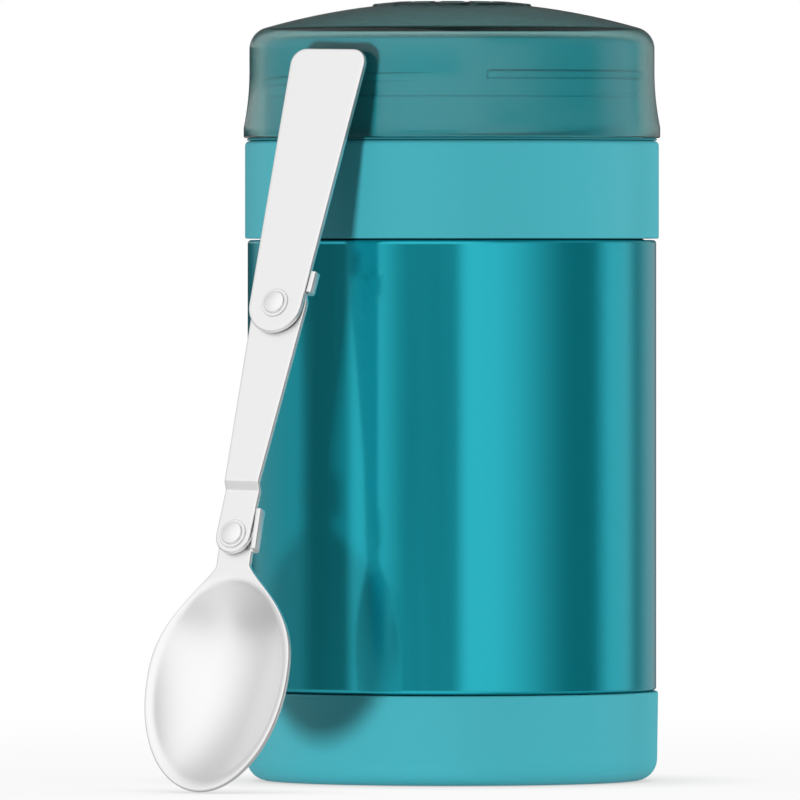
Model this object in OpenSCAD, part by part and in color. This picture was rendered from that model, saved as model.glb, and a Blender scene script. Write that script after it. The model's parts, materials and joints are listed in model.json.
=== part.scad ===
// Insulated food jar with a screw stopper, a domed cover and a folding spoon.
// The jar stands on z = 0 with its axis on Z. The spoon leans on the cover at the
// jar's front left. Every physical piece is a solid of its own.

/* [Steel vessel] */
// Outside diameter of the steel body
body_d = 92.8; // [88:0.2:96]
// Height of the shoulder that the stopper's skirt sits above
shoulder_z = 122.75; // [110:0.25:130]
// Outside diameter of the neck inside the skirt
neck_d = 86; // [84:0.5:87]
// Height of the drinking lip, where the two steel walls are welded
lip_z = 142; // [140.5:0.25:142.2]
// Sheet thickness of both steel walls
steel_wall = 0.5; // [0.4:0.05:0.6]
// Outside diameter of the foot that the boot is pushed onto
foot_d = 89.2; // [86:0.2:89.4]
// Height of the foot's underside
foot_z = 5; // [4.6:0.1:6]
// Inside diameter of the food cavity
cavity_d = 78.8; // [77:0.2:79.2]
// Height of the cavity's floor
cavity_floor_z = 14; // [12:0.5:20]

/* [Base boot] */
// Diameter of the boot at its upper edge
boot_d = 93.7; // [93.2:0.1:96]
// Height of the boot's upper edge
boot_h = 20.3; // [16:0.1:26]
// Radius of the boot's lower corner
boot_corner = 5; // [3:0.25:6]
// Thickness of the boot's floor
boot_floor = 2.2; // [1.6:0.1:2.6]

/* [Stopper] */
// Diameter of the gripping skirt, seen as the coloured band
skirt_d = 94; // [93:0.2:96]
// Height of the deck at the skirt's top
deck_z = 145.2; // [144.6:0.1:146]
// Outside diameter of the stopper's upper neck, inside the cover
collar_d = 85.2; // [84:0.2:86]
// Height of the upper neck's rim
collar_z = 168.4; // [160:0.2:168.6]
// Diameter of the plug that reaches into the mouth
plug_d = 76; // [74:0.2:76.4]
// Height of the plug's underside
plug_z = 119; // [112:0.5:128]

/* [Cover] */
// Diameter of the cover at its lower edge
cover_d = 94.6; // [93:0.2:96]
// Diameter of the cover at its waist and shoulder
cover_waist_d = 92; // [91:0.2:93]
// Height of the cover's crown
crown_z = 176.9; // [174:0.1:180]
// Spherical radius of the crown
crown_r = 153; // [120:1:200]
// Radius of the rounded edge between side and crown
cover_edge_r = 5; // [3.5:0.25:6]
// Wall thickness of the cover
cover_wall = 2; // [1.6:0.1:2.2]
// Number of raised grip bars on the crown
grip_bars = 12; // [6:1:18]
// Height of the grip bars above the crown
grip_h = 0.45; // [0.3:0.05:0.8]

/* [Folding spoon] */
// Sheet thickness of the three leaves
leaf_t = 1.4; // [1.2:0.1:1.6]
// Length of the handle from the upper pivot to its end
handle_len = 61.3; // [50:0.5:66]
// Width of the handle at its far end
handle_w = 19.9; // [16:0.1:22]
// Radius of the handle's end around the upper pivot
handle_end_r = 6.85; // [6:0.05:7.5]
// Distance between the two pivots
pivot_span = 54; // [50:0.2:58]
// Width of the link below its step
link_low_w = 8.9; // [8:0.1:10]
// Length of the bowl leaf from the lower pivot to its tip
bowl_reach = 60.2; // [56:0.2:62]
// Width of the bowl
bowl_w = 36.4; // [32:0.2:40]
// Depth of the bowl below its rim
bowl_depth = 7; // [5:0.5:9]
// Width of the flat rim round the bowl's dish
bowl_rim_w = 1.3; // [1:0.1:2]
// Height of the step in the link, which clears the lower rivet's head
link_step = 1.3; // [1.2:0.1:1.6]
// Radius of the rivet shanks
rivet_r = 2; // [1.6:0.1:2.4]
// Radius of the rivet heads at their brim
rivet_head_r = 3.3; // [2.9:0.05:3.5]

/* [Spoon's place] */
// Turn of the spoon's face to the left of straight ahead
spoon_turn = 31; // [20:1:40]
// Lean of the spoon back against the cover
spoon_lean = 21.2; // [18:0.1:25]
// Roll of the spoon to the right in its own plane
spoon_roll = 0.9; // [0:0.1:3]
// Height of the upper pivot, which sets the tip on the ground
pivot_z = 108; // [106:0.05:120]
// Sideways place of the upper pivot
pivot_x = -38.9; // [-45:0.1:-30]
// Angle between bowl and link at the unfolding stop
bowl_cant = 4.5; // [3:0.1:5]

/* [Fits] */
// Gap between pieces that move past each other
gap = 0.3; // [0.25:0.05:0.4]
// Gap between pieces that are fixed to each other
fit = 0.05; // [0.02:0.01:0.1]
// Radial clearance of a leaf on its rivet
pivot_play = 0.05; // [0.02:0.01:0.1]

/* [Hidden] */
$fn = 96;

body_r = body_d / 2;
neck_r = neck_d / 2;
foot_r = foot_d / 2;
cavity_r = cavity_d / 2;
liner_r = cavity_r + steel_wall;
step_z = boot_h + 0.2;
body_edge_r = 0.8;
foot_bend_r = 4;
foot_flange_r = 37;
shoulder_fillet_r = 1;
lip_bend_r = 1.6;
cavity_corner_r = 8;

boot_r = boot_d / 2;
boot_draft = 0.25;
boot_rim_r = 0.4;
boot_bore_r = foot_r + 3 * fit;
pad_r = 36;

skirt_r = skirt_d / 2;
skirt_wall = 2;
skirt_z = shoulder_z + gap;
deck_t = 2.6;
collar_r = collar_d / 2;
collar_wall = 1.6;
plug_r = plug_d / 2;
plug_wall = 2;
plug_flange_r = plug_r + 0.95;
groove_z = [136.3, 141.2];
groove_r = plug_r - 0.8;
tray_floor_t = 1.5;
tray_r = collar_r - collar_wall - 2 * fit;

ring_z = deck_z + 0.1;
ring_t = 0.5;
cover_r = cover_d / 2;
waist_r = cover_waist_d / 2;
cover_z = ring_z + ring_t + 0.1;
flare_z = cover_z + 2.4;
waist_z = cover_z + 15;
corner_r = waist_r - cover_edge_r;
crown_c = crown_z - crown_r;
corner_z = crown_c + sqrt(pow(crown_r - cover_edge_r, 2) - pow(corner_r, 2));
corner_turn = atan2(corner_z - crown_c, corner_r);
grip_in_r = 12;
grip_out_r = 18;

washer_t = 0.31;
leaf_gap = 0.35;
link_r = handle_end_r + 0.1;
link_low_r = link_low_w / 2;
handle_taper = taper(handle_end_r, handle_w / 2, handle_len);
handle_back = leaf_gap;
low_front = -link_step;
bowl_front = low_front - leaf_t - leaf_gap;
step_y = -pivot_span + 12;
step_run = 1.4;
neck_w = 8.7;
bowl_neck_y = -6.8;
bowl_wide_y = -33.6;
dish_top_y = -10.1;
dish_blend = 0.12;
bowl_steps = 44;
bowl_rings = 8;
round_steps = 20;

// The handle's back leans at the cover's side. Its plane clears the cover's wider
// lower edge, so that the cover and the stopper can be lifted past it.
face_n = [
    -sin(spoon_turn) * cos(spoon_lean),
    -cos(spoon_turn) * cos(spoon_lean),
    sin(spoon_lean)
];
top_edge_z = pivot_z + handle_len * cos(spoon_lean);
back_plane = cos(spoon_lean) * (cover_r + 1.5 * gap) + face_n[2] * top_edge_z;
pivot_y = (back_plane - handle_back - face_n[0] * pivot_x - face_n[2] * pivot_z) / face_n[1];

teal = [0.31, 0.68, 0.74];
teal_steel = [0.08, 0.53, 0.59];
smoke = [0.24, 0.50, 0.54, 0.75];
steel = [0.80, 0.81, 0.82];
foam_white = [0.93, 0.92, 0.88];
silicone_grey = [0.20, 0.24, 0.25];
foil_silver = [0.88, 0.88, 0.90];

// ---- helpers ----

// Points on an arc about c, from angle a0 to a1.
function arc(c, r, a0, a1, n = 8) =
    [for (i = [0:n]) let (a = a0 + (a1 - a0) * i / n) c + r * [cos(a), sin(a)]];

// Angle of an edge that leaves a circle of radius r at a tangent and is half wide
// at the distance len from the circle's centre.
function taper(r, half, len) = acos(r / norm([half, len])) - atan2(len, half);

// Mirror image of an outline across the Y axis, in reverse order.
function mirrored(pts) = [for (i = [len(pts) - 1:-1:0]) [-pts[i][0], pts[i][1]]];

module revolve(profile) {
    rotate_extrude($fn = 180) polygon(profile);
}

// ---- steel vessel ----

// One sheet wall, drawn down its outside and back up its inside.
module outer_shell() {
    w = steel_wall;
    foot_c = [foot_r - foot_bend_r, foot_z + foot_bend_r];
    low_c = [body_r - body_edge_r, step_z + body_edge_r];
    high_c = [body_r - body_edge_r, shoulder_z - body_edge_r];
    neck_c = [neck_r + shoulder_fillet_r, shoulder_z + shoulder_fillet_r];
    lip_c = [neck_r - lip_bend_r, lip_z - lip_bend_r];
    outside = concat(
        [[foot_flange_r, foot_z]],
        arc(foot_c, foot_bend_r, -90, 0),
        [[foot_r, step_z]],
        arc(low_c, body_edge_r, -90, 0),
        arc(high_c, body_edge_r, 0, 90),
        arc(neck_c, shoulder_fillet_r, 270, 180),
        arc(lip_c, lip_bend_r, 0, 90),
        [[liner_r + fit, lip_z]]
    );
    inside = concat(
        [[liner_r + fit, lip_z - w]],
        arc(lip_c, lip_bend_r - w, 90, 0),
        arc(neck_c, shoulder_fillet_r + w, 180, 270),
        arc(high_c, body_edge_r - w, 90, 0),
        arc(low_c, body_edge_r - w, 0, -90),
        [[foot_r - w, step_z + w]],
        arc(foot_c, foot_bend_r - w, 0, -90),
        [[foot_flange_r, foot_z + w]]
    );
    color(teal_steel) revolve(concat(outside, inside));
}

// Drawn steel cup that holds the food, welded to the shell at the lip.
module inner_liner() {
    w = steel_wall;
    corner_c = [cavity_r - cavity_corner_r, cavity_floor_z + cavity_corner_r];
    color(steel) revolve(concat(
        [[0, cavity_floor_z - w]],
        arc(corner_c, cavity_corner_r + w, -90, 0),
        [[liner_r, lip_z], [cavity_r, lip_z]],
        arc(corner_c, cavity_corner_r, 0, -90),
        [[0, cavity_floor_z]]
    ));
}

// Bright foil sleeve around the liner, inside the vacuum.
module radiation_foil() {
    foil_in = liner_r + 0.3;
    foil_t = 0.3;
    z0 = cavity_floor_z + cavity_corner_r;
    color(foil_silver) revolve([
        [foil_in, z0], [foil_in + foil_t, z0],
        [foil_in + foil_t, shoulder_z], [foil_in, shoulder_z]
    ]);
}

// Pressed disc that closes the shell's foot, with a dimple for the seal.
module base_plate() {
    z = foot_z + steel_wall;
    t = steel_wall;
    plate_r = foot_r - foot_bend_r - 1;
    dimple_r = 4;
    rise = 1.7;
    color(steel) revolve([
        [1, z + rise], [dimple_r, z + rise], [dimple_r + 2, z],
        [plate_r, z], [plate_r, z + t], [dimple_r + 2.2, z + t],
        [dimple_r + 0.2, z + rise + t], [1, z + rise + t]
    ]);
}

// Drop of solder glass that closes the evacuation hole in the dimple.
module seal_bead() {
    z = foot_z + steel_wall + 1.7;
    color(silicone_grey) revolve(concat(
        [[0, z - 1.1]],
        arc([1.8, z - 0.55], 0.55, -90, 90, 6),
        [[0.95, z], [0.95, z + 0.7], [0, z + 0.7]]
    ));
}

// Ring-shaped getter that keeps the vacuum, clipped to the base plate.
module getter_ring() {
    z = foot_z + 2 * steel_wall;
    color(steel) translate([18, 0, z + fit]) revolve([
        [3, 0], [6, 0], [6, 1.6], [5.6, 1.6], [5.6, 0.4], [3.4, 0.4], [3.4, 1.6], [3, 1.6]
    ]);
}

// ---- base ----

// Moulded boot around the foot, with a shallow groove under its floor.
module base_boot() {
    bend_c = [foot_r - foot_bend_r, foot_z + foot_bend_r];
    bend_r = foot_bend_r + 3 * fit;
    low_r = boot_r - boot_draft;
    rim_c = [boot_r - boot_rim_r, boot_h - boot_rim_r];
    color(teal) revolve(concat(
        [[0, 0], [33, 0], [33.4, 0.5], [34.6, 0.5], [35, 0]],
        arc([low_r - boot_corner, boot_corner], boot_corner, -90, 0),
        arc(rim_c, boot_rim_r, 0, 90, 4),
        [[boot_bore_r, boot_h]],
        arc(bend_c, bend_r, 0, -90),
        [[pad_r + 0.1, foot_z - 3 * fit], [pad_r + 0.1, boot_floor], [0, boot_floor]]
    ));
}

// Foam disc that bonds the boot to the base plate's flange.
module boot_pad() {
    color(foam_white) translate([0, 0, boot_floor + fit])
        cylinder(r = pad_r, h = foot_z - boot_floor - 2 * fit);
}

// ---- stopper ----

// Skirt, deck and upper neck, moulded in one.
module stopper_shell() {
    in_r = skirt_r - skirt_wall;
    under = deck_z - deck_t;
    bore = plug_flange_r + fit;
    collar_in = collar_r - collar_wall;
    color(teal) revolve(concat(
        [[in_r, skirt_z]],
        arc([skirt_r - 0.4, skirt_z + 0.4], 0.4, -90, 0, 4),
        arc([skirt_r - 1.1, deck_z - 1.1], 1.1, 0, 90),
        arc([collar_r + 0.6, deck_z + 0.6], 0.6, 270, 180, 4),
        arc([collar_r - 0.8, collar_z - 0.8], 0.8, 0, 90, 6),
        [[collar_in, collar_z], [collar_in, deck_z], [bore, deck_z], [bore, under]],
        [[in_r - 1, under], [in_r, under - 1]]
    ));
}

// Open dish inside the upper neck, where the folded spoon lies.
module stopper_tray() {
    z = deck_z + 2 * fit;
    in_r = tray_r - 1.2;
    color(teal) revolve(concat(
        [[0, z]],
        arc([tray_r - 1, z + 1], 1, -90, 0, 4),
        [[tray_r, collar_z - 0.4], [in_r, collar_z - 0.4]],
        arc([in_r - 1.5, z + tray_floor_t + 1.5], 1.5, 0, -90, 6),
        [[0, z + tray_floor_t]]
    ));
}

// Cup that hangs into the mouth, with a groove for the gasket.
module stopper_plug() {
    in_r = plug_r - plug_wall;
    edge = 3;
    top = deck_z - fit;
    under = deck_z - deck_t + fit;
    c = [plug_r - edge, plug_z + edge];
    color(teal) revolve(concat(
        [[0, plug_z]],
        arc(c, edge, -90, 0),
        [[plug_r, groove_z[0]], [groove_r, groove_z[0]]],
        [[groove_r, groove_z[1]], [plug_r, groove_z[1]]],
        [[plug_r, under], [plug_flange_r, under], [plug_flange_r, top], [in_r, top]],
        arc(c, edge - plug_wall, 0, -90, 4),
        [[0, plug_z + plug_wall]]
    ));
}

// Insulating foam between the plug and the tray.
module stopper_foam() {
    r = plug_r - plug_wall - 0.2;
    z = plug_z + plug_wall + fit;
    color(foam_white) revolve(concat(
        [[0, z]],
        arc([r - 1, z + 1], 1, -90, 0, 4),
        [[r, deck_z], [0, deck_z]]
    ));
}

// Two-lipped silicone ring that wipes the mouth.
module stopper_gasket() {
    in_r = groove_r + gap;
    lip_r = cavity_r - gap;
    mid_r = lip_r - 0.7;
    z0 = groove_z[0] + gap;
    z1 = groove_z[1] - gap;
    color(silicone_grey) revolve([
        [in_r, z0], [mid_r, z0], [lip_r, z0 + 0.6], [mid_r, z0 + 1.4],
        [mid_r, z1 - 1.4], [lip_r, z1 - 0.8], [mid_r, z1], [in_r, z1]
    ]);
}

// ---- cover ----

// Thin ring under the cover's edge, seen as the dark line above the band.
module cover_ring() {
    color(silicone_grey) revolve(concat(
        [[collar_r + 0.8, ring_z]],
        arc([cover_r - 1, ring_z + ring_t / 2], ring_t / 2, -90, 90, 6),
        [[collar_r + 0.8, ring_z + ring_t]]
    ));
}

// Radius of the cover's side: it narrows from the lower edge to the waist.
function flare(z) = waist_r
    + (cover_r - waist_r) * pow((waist_z - z) / (waist_z - flare_z), 2);

// Translucent cap of even wall: waisted side, rounded shoulder and spherical crown.
module cover_shell() {
    w = cover_wall;
    c = [corner_r, corner_z];
    waist = [for (i = [0:8]) let (z = flare_z + (waist_z - flare_z) * i / 8) [flare(z), z]];
    crown_edge = 90 - corner_turn;
    profile = concat(
        [[cover_r - w, cover_z]],
        arc([cover_r - 0.4, cover_z + 0.4], 0.4, -90, 0, 4),
        waist,
        arc(c, cover_edge_r, 0, corner_turn),
        arc([0, crown_c], crown_r, corner_turn + crown_edge / 16, 90, 15),
        arc([0, crown_c], crown_r - w, 90, corner_turn + crown_edge / 16, 15),
        arc(c, cover_edge_r - w, corner_turn, 0),
        [for (i = [8:-1:0]) waist[i] - [w, 0]]
    );
    color(smoke) {
        revolve(profile);
        for (i = [0:grip_bars - 1]) rotate([0, 0, i * 360 / grip_bars]) grip_bar();
    }
}

// One raised bar on the crown, a short arc with a crowned top.
module grip_bar() {
    span = 0.84 * 360 / grip_bars;
    a_in = acos(grip_in_r / crown_r);
    a_out = acos(grip_out_r / crown_r);
    chamfer = 0.1;
    rotate([0, 0, -span / 2]) rotate_extrude(angle = span, $fn = 180) polygon(concat(
        arc([0, crown_c], crown_r - 1, a_in, a_out, 3),
        arc([0, crown_c], crown_r + grip_h, a_out + chamfer, a_in - chamfer, 3)
    ));
}

// ---- folding spoon, flat in its own frame ----
// Origin on the upper pivot at the link's front face, +Y to the handle, +Z to the front.

module place_spoon() {
    translate([pivot_x, pivot_y, pivot_z])
        rotate([0, 0, -spoon_turn])
        rotate([90 - spoon_lean, 0, 0])
        rotate([0, 0, -spoon_roll])
        children();
}

module at_lower_pivot() {
    translate([0, -pivot_span, 0]) rotate([0, 0, bowl_cant]) children();
}

// Right half of a tapered leaf's far end: a corner of radius c.
function leaf_corner(r, t, len, c) = arc(
    [(r - c + sin(t) * (len - c)) / cos(t), len - c], c, -t, 90
);

module handle_outline() {
    t = handle_taper;
    corner = leaf_corner(handle_end_r, t, handle_len, 3.6);
    polygon(concat(
        arc([0, 0], handle_end_r, 180 + t, 360 - t, round_steps),
        corner,
        mirrored(corner)
    ));
}

module spoon_handle() {
    color(steel) place_spoon() translate([0, 0, handle_back]) difference() {
        linear_extrude(leaf_t) handle_outline();
        translate([0, 0, -1]) cylinder(r = rivet_r + pivot_play, h = leaf_t + 2);
    }
}

// Side view of the link, flat above, stepped back below.
module link_side() {
    lean = 0.5 * leaf_t * link_step / step_run;
    front = [[20, 0], [step_y, 0], [step_y - step_run, low_front], [-80, low_front]];
    back = [for (i = [3:-1:0]) front[i] - [i == 1 || i == 2 ? lean : 0, leaf_t]];
    rotate([90, 0, 90]) translate([0, 0, -20]) linear_extrude(40) polygon(concat(front, back));
}

module link_outline() {
    t = taper(link_r, link_low_r, -step_y);
    polygon(concat(
        arc([0, -pivot_span], link_low_r, 180, 360, round_steps),
        [[link_low_r, step_y]],
        arc([0, 0], link_r, t, 180 - t, round_steps),
        [[-link_low_r, step_y]]
    ));
}

// Stop tab bent up from a leaf's edge: x from root to the outer face, y0 to y1.
module stop_tab(root, inner, y0, y1, height) {
    t = leaf_t;
    bend = t + 0.3;
    outer = inner + t;
    profile = concat(
        [[root, -t]],
        arc([outer - bend, bend - t], bend, -90, 0, 5),
        [[outer, height], [inner, height]],
        arc([inner - 0.3, 0.3], 0.3, 0, -90, 3),
        [[root, 0]]
    );
    translate([0, y1, 0]) rotate([90, 0, 0]) linear_extrude(y1 - y0) polygon(profile);
}

module spoon_link() {
    color(steel) place_spoon() difference() {
        union() {
            intersection() {
                translate([0, 0, -10]) linear_extrude(20) link_outline();
                link_side();
            }
            rotate([0, 0, -handle_taper])
                stop_tab(3, handle_end_r + 0.25, 3.2, 8.2, handle_back + leaf_t);
        }
        for (y = [0, -pivot_span])
            translate([0, y, -10]) cylinder(r = rivet_r, h = 20);
    }
}

// Half width of the bowl at a distance below the lower pivot: an ellipse to the
// tip, and a softer curve that runs out into the neck.
function bowl_half(y) = y < bowl_wide_y
    ? bowl_w / 2 * sqrt(max(0, 1 - pow((bowl_wide_y - y) / (bowl_reach + bowl_wide_y), 2)))
    : neck_w / 2 + (bowl_w - neck_w) / 2
        * pow(1 - pow((y - bowl_wide_y) / (bowl_neck_y - bowl_wide_y), 2.5), 1.35);

// Rim of the bowl, once round from the neck's right side. Steps follow a cosine,
// so the points close up at the neck and the tip.
function bowl_rim() = [
    for (i = [0:bowl_steps - 1])
        let (
            a = 360 * (i + 0.5) / bowl_steps,
            mid = (bowl_neck_y - bowl_reach) / 2,
            y = mid + (bowl_neck_y - mid) * cos(a)
        )
        [(a < 180 ? 1 : -1) * bowl_half(y), y]
];

// Level of the bowl's face. away is 0 at the deepest point and 1 on the ellipse where
// the dish meets the flat rim. The dish is a paraboloid, blended into the rim.
function dish_level(x, y) =
    let (
        half = bowl_w / 2 - bowl_rim_w,
        reach = y < bowl_wide_y
            ? bowl_reach - bowl_rim_w + bowl_wide_y
            : dish_top_y - bowl_wide_y,
        away = pow(x / half, 2) + pow((y - bowl_wide_y) / reach, 2),
        t = 1 - away,
        e = dish_blend
    )
    -bowl_depth * (t > e ? t : t < -e ? 0 : pow(t + e, 2) / (4 * e));

// Bowl of even thickness: rings of the outline shrink towards the deepest point and
// lie closer together near the rim.
module bowl_dish() {
    rim = bowl_rim();
    n = bowl_steps;
    m = bowl_rings;
    deepest = [0, bowl_wide_y];
    function ring(k, drop) = let (s = 1 - pow(1 - k / m, 1.5)) [
        for (p = rim)
            let (q = deepest + s * (p - deepest))
            [q[0], q[1], dish_level(q[0], q[1]) - drop]
    ];
    function skin(drop) = concat(
        [[0, bowl_wide_y, -bowl_depth - drop]],
        [for (k = [1:m]) each ring(k, drop)]
    );
    size = 1 + m * n;
    function id(side, k, i) = side * size + 1 + (k - 1) * n + (i % n);
    fan = [for (i = [0:n - 1]) [0, id(0, 1, i), id(0, 1, i + 1)]];
    bands = [
        for (k = [1:m - 1], i = [0:n - 1], half = [0, 1])
            half == 0
                ? [id(0, k, i), id(0, k + 1, i), id(0, k + 1, i + 1)]
                : [id(0, k, i), id(0, k + 1, i + 1), id(0, k, i + 1)]
    ];
    top = concat(fan, bands);
    bottom = [for (f = top) [f[0] + size, f[2] + size, f[1] + size]];
    edge = [
        for (i = [0:n - 1], half = [0, 1])
            half == 0
                ? [id(0, m, i), id(1, m, i), id(1, m, i + 1)]
                : [id(0, m, i), id(1, m, i + 1), id(0, m, i + 1)]
    ];
    polyhedron(points = concat(skin(0), skin(leaf_t)), faces = concat(top, bottom, edge));
}

module neck_outline() {
    half = neck_w / 2;
    low = bowl_neck_y - 0.6;
    polygon(concat(arc([0, 0], half, 0, 180, round_steps), [[-half, low], [half, low]]));
}

module spoon_bowl() {
    color(steel) place_spoon() translate([0, 0, bowl_front]) at_lower_pivot() difference() {
        union() {
            bowl_dish();
            translate([0, 0, -leaf_t]) linear_extrude(leaf_t) neck_outline();
            stop_tab(2, link_low_r + 0.65, -3.8, 5.8, leaf_gap + leaf_t + 0.2);
        }
        translate([0, 0, -5]) cylinder(r = rivet_r + pivot_play, h = 10);
    }
}

// Rivet along Z: in front a thin brim that carries a crowned button, behind a flat
// peened head.
module rivet(front, back) {
    seat = front + fit;
    brim = 0.35;
    button_r = rivet_head_r - 0.7;
    button_h = 0.85;
    crown = 0.3;
    cap_r = (pow(button_r - 0.3, 2) + crown * crown) / (2 * crown);
    cap_a = asin((button_r - 0.3) / cap_r);
    peen_r = rivet_head_r - 0.4;
    peen_t = 0.65;
    revolve(concat(
        [[0, back - fit - peen_t], [peen_r - 0.3, back - fit - peen_t]],
        [[peen_r, back - fit - 0.3], [peen_r, back - fit]],
        [[rivet_r, back - fit], [rivet_r, seat], [rivet_head_r, seat]],
        arc([rivet_head_r - 0.2, seat + brim - 0.2], 0.2, 0, 90, 3),
        arc([button_r - 0.3, seat + button_h - 0.3], 0.3, 0, 90, 3),
        arc([0, seat + button_h + crown - cap_r], cap_r, 90 - cap_a, 90, 5)
    ));
}

module upper_rivet() {
    color(steel) place_spoon() rivet(handle_back + leaf_t, -leaf_t);
}

module lower_rivet() {
    color(steel) place_spoon() translate([0, -pivot_span, 0])
        rivet(low_front, bowl_front - leaf_t);
}

// Thin spacer that lets two leaves turn past each other.
module washer(z, r) {
    translate([0, 0, z + (leaf_gap - washer_t) / 2]) difference() {
        cylinder(r = r, h = washer_t);
        translate([0, 0, -1]) cylinder(r = rivet_r + fit, h = 3);
    }
}

module upper_washer() {
    color(steel) place_spoon() washer(0, 5.4);
}

module lower_washer() {
    color(steel) place_spoon() translate([0, -pivot_span, 0]) washer(bowl_front, 3.9);
}

outer_shell();
inner_liner();
radiation_foil();
base_plate();
getter_ring();
seal_bead();
base_boot();
boot_pad();
stopper_shell();
stopper_tray();
stopper_plug();
stopper_foam();
stopper_gasket();
cover_ring();
cover_shell();
spoon_handle();
spoon_link();
spoon_bowl();
upper_rivet();
lower_rivet();
upper_washer();
lower_washer();
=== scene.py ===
# %% [markdown]
# # Insulated food jar with a folding spoon
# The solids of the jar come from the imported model. Each of them already stands at
# its real place and size. This file dresses them: it turns smooth skins for the
# moulded and drawn pieces, rolls the edges of the spoon's sheet metal, cuts the
# screw threads and gives every piece its finish.

# %% Load the frame
import json
import math

import bmesh
import bpy
import numpy as np
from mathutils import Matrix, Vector


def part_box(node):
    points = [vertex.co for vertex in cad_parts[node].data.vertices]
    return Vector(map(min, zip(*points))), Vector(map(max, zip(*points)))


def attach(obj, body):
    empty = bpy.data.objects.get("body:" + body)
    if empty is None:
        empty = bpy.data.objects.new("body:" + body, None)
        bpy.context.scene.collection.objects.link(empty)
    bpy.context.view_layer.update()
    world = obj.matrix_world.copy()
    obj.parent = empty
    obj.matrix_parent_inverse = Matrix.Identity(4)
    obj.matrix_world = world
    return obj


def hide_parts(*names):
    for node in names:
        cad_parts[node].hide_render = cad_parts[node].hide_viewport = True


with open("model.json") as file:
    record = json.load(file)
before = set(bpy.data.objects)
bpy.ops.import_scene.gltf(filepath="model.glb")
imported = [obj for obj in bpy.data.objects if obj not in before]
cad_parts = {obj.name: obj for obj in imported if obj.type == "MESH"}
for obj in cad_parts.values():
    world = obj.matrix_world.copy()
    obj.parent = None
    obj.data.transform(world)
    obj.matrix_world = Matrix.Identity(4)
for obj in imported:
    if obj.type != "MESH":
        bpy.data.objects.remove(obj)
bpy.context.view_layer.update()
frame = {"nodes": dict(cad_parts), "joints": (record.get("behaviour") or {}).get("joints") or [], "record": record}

MM = 0.001

# %% [markdown]
# ## Camera
# A long lens from almost four metres keeps the jar's sides parallel. An orthographic
# camera would do that too, but it would lose the little depth that is left. The
# camera is a little above the middle of the jar and looks down at it by less than a
# degree.

# %% Camera
CAMERA_DISTANCE = 3.786
CAMERA_HEIGHT = 0.1171
VIEW_CENTRE = Vector((-0.0118, 0.0, 0.0864))
LENS_MM = 750
SENSOR_MM = 36

camera_data = bpy.data.cameras.new("camera")
camera_data.lens = LENS_MM
camera_data.sensor_width = SENSOR_MM
camera_data.clip_end = 50
camera = bpy.data.objects.new("camera", camera_data)
camera.location = (VIEW_CENTRE.x, -CAMERA_DISTANCE, CAMERA_HEIGHT)
camera.rotation_euler = (VIEW_CENTRE - camera.location).to_track_quat("-Z", "Y").to_euler()
bpy.context.collection.objects.link(camera)
bpy.context.scene.camera = camera
print("camera at", [round(c, 4) for c in camera.location])

# %% [markdown]
# ## Finishes
# Nine finishes make the jar and its spoon. Four of them cover nearly all that is
# seen: a satin lacquer that lets the steel shine through, a fine matt moulding
# plastic, a translucent smoke-grey plastic and blasted stainless steel. The others
# are inside, apart from the thin silicone ring under the cover, whose dark teal is
# painted shade: it darkens the seam between the band and the cover as a shadow gap
# would. A flat colour would look like a toy, because every real surface breaks its
# reflection up a little. All nine share such a very fine grain, so that is one node
# group. Each finish sets its scale and its height, and the moulding plastic, the
# lacquer and both bare steels also set how much they dull the shine.

# %% Grain
def grain_group():
    """Fine grain on any surface: a bump normal, and a mask of slightly duller spots.
    Both come from one noise in Object coordinates, whose Z is multiplied by Stretch,
    so that a Stretch below 1 draws the grain out along the axis."""
    group = bpy.data.node_groups.new("fine_grain", "ShaderNodeTree")
    face = group.interface
    for label, value in (("Scale", 900.0), ("Height", 0.02), ("Stretch", 1.0)):
        socket = face.new_socket(label, in_out="INPUT", socket_type="NodeSocketFloat")
        socket.default_value = value
    face.new_socket("Normal", in_out="OUTPUT", socket_type="NodeSocketVector")
    face.new_socket("Mask", in_out="OUTPUT", socket_type="NodeSocketFloat")
    nodes, links = group.nodes, group.links
    given, result = nodes.new("NodeGroupInput"), nodes.new("NodeGroupOutput")
    place = nodes.new("ShaderNodeTexCoord")
    stretch = nodes.new("ShaderNodeCombineXYZ")
    stretch.inputs["X"].default_value = 1
    stretch.inputs["Y"].default_value = 1
    links.new(given.outputs["Stretch"], stretch.inputs["Z"])
    scaled = nodes.new("ShaderNodeVectorMath")
    scaled.operation = "MULTIPLY"
    links.new(place.outputs["Object"], scaled.inputs[0])
    links.new(stretch.outputs[0], scaled.inputs[1])
    noise = nodes.new("ShaderNodeTexNoise")
    noise.inputs["Detail"].default_value = 3
    links.new(scaled.outputs[0], noise.inputs["Vector"])
    links.new(given.outputs["Scale"], noise.inputs["Scale"])
    bump = nodes.new("ShaderNodeBump")
    bump.inputs["Distance"].default_value = 0.2 * MM
    links.new(given.outputs["Height"], bump.inputs["Strength"])
    links.new(noise.outputs["Fac"], bump.inputs["Height"])
    links.new(bump.outputs[0], result.inputs["Normal"])
    links.new(noise.outputs["Fac"], result.inputs["Mask"])
    return group


GRAIN = grain_group()
print("node group:", GRAIN.name)


# %% Moulded plastic and lacquer
def new_material(name, **values):
    """A material with one Principled BSDF, its sockets set by name."""
    material = bpy.data.materials.new(name)
    material.use_nodes = True
    shader = material.node_tree.nodes["Principled BSDF"]
    for key, value in values.items():
        shader.inputs[key.replace("_", " ")].default_value = value
    return material, material.node_tree, shader


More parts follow.
